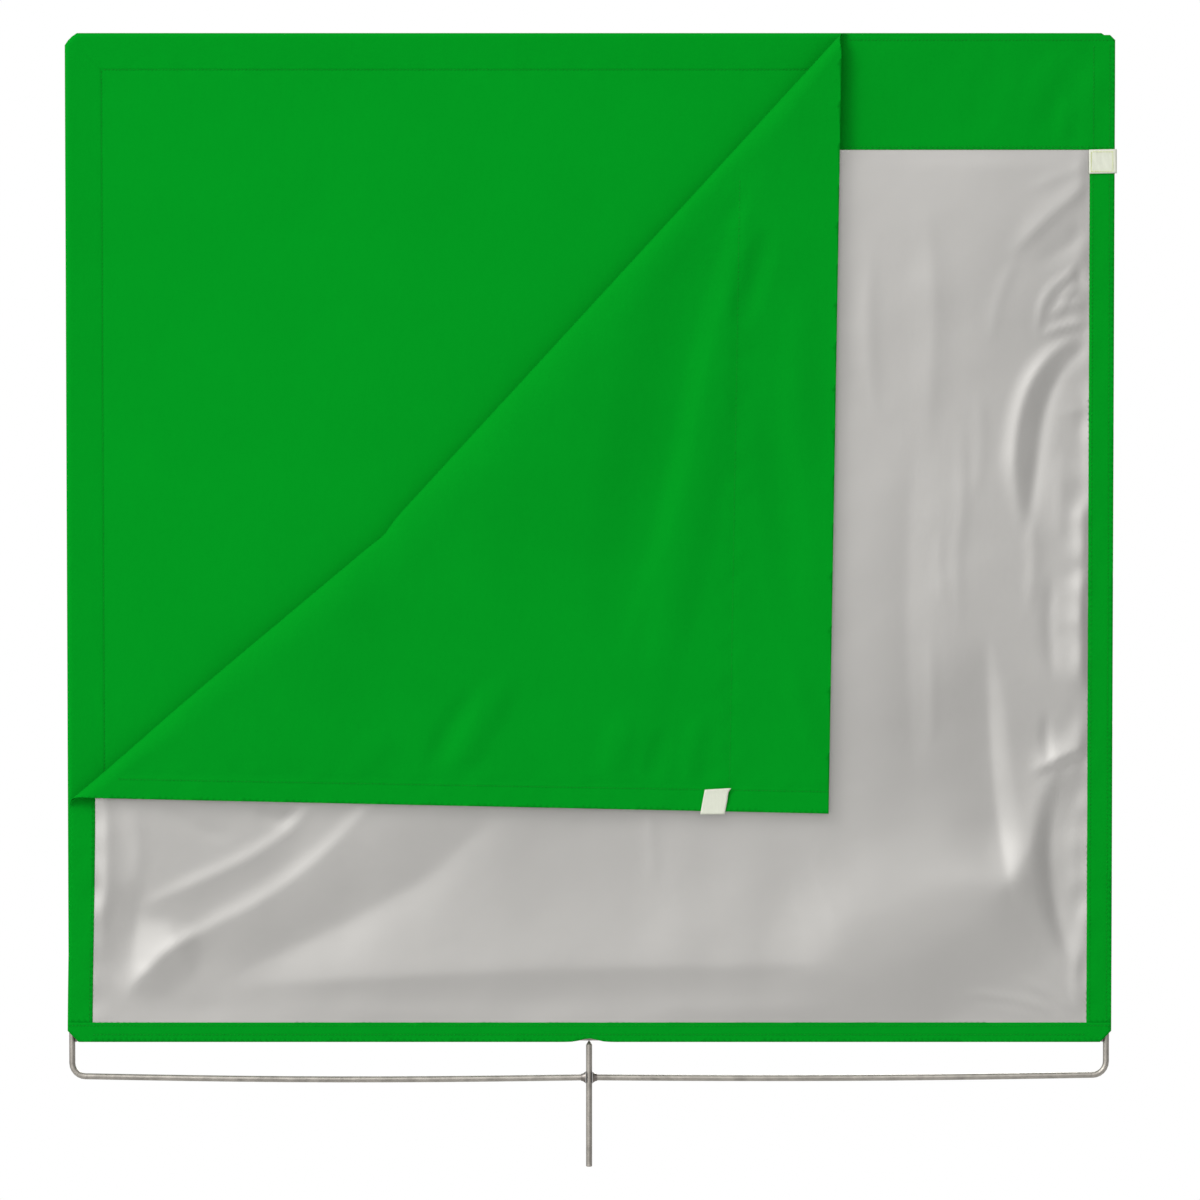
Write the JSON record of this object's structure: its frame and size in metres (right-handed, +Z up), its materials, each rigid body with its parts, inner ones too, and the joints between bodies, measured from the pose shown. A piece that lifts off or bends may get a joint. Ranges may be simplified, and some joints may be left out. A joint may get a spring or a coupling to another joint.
{
  "type": "pin-mounted fabric screen",
  "caption": "Square bent-rod frame covered in cloth, with a bottom mounting pin and a grey-faced front flap that lets down and has its upper corner folded forward.",
  "frame": {"origin": "centre of the mounting pin's lower end face", "axes": "+Z up along the pin, +X to the right as seen from the flap's side, +Y to the back; the flap is on the -Y side"},
  "size_m": [1.2242, 0.0331, 1.3206],
  "materials": {
    "steel": "bare drawn rod, dull",
    "green_cloth": "matt woven cloth",
    "grey_cloth": "smooth coated cloth, satin",
    "webbing": "woven cotton tape"
  },
  "bodies": {
    "frame": {"top_rod": "steel", "left_rod": "steel", "right_rod": "steel", "bottom_bar_left": "steel", "bottom_bar_right": "steel", "crossbar": "steel", "mounting_pin": "steel", "pin_weld_left": "steel", "pin_weld_right": "steel", "crossbar_weld_left": "steel", "crossbar_weld_right": "steel", "screen_panel": "green_cloth", "sleeve_top": "green_cloth", "sleeve_left": "green_cloth", "sleeve_right": "green_cloth", "sleeve_bottom": "green_cloth", "hinge_seam": "green_cloth"},
    "flap": {"flap_backing": "green_cloth", "flap_facing": "grey_cloth", "flap_top_band": "green_cloth", "flap_left_band": "green_cloth", "flap_right_band": "green_cloth", "flap_bottom_band": "green_cloth", "right_tab": "webbing"},
    "flap_corner": {"corner_backing": "green_cloth", "corner_facing": "grey_cloth", "corner_top_band": "green_cloth", "corner_left_band": "green_cloth", "corner_crease": "green_cloth", "left_tab": "webbing"}
  },
  "joints": [
    {"name": "flap_drop", "type": "hinge", "parent": "frame", "child": "flap", "pos_m": [0, -0.0079, 0.1457], "axis": [1, 0, 0], "range_deg": [0, 179.5]},
    {"name": "corner_fold", "type": "hinge", "parent": "flap", "child": "flap_corner", "pos_m": [-0.15935, -0.0169, 0.8724], "axis": [-0.7131, 0, -0.7011], "range_deg": [0, 179.5]}
  ]
}
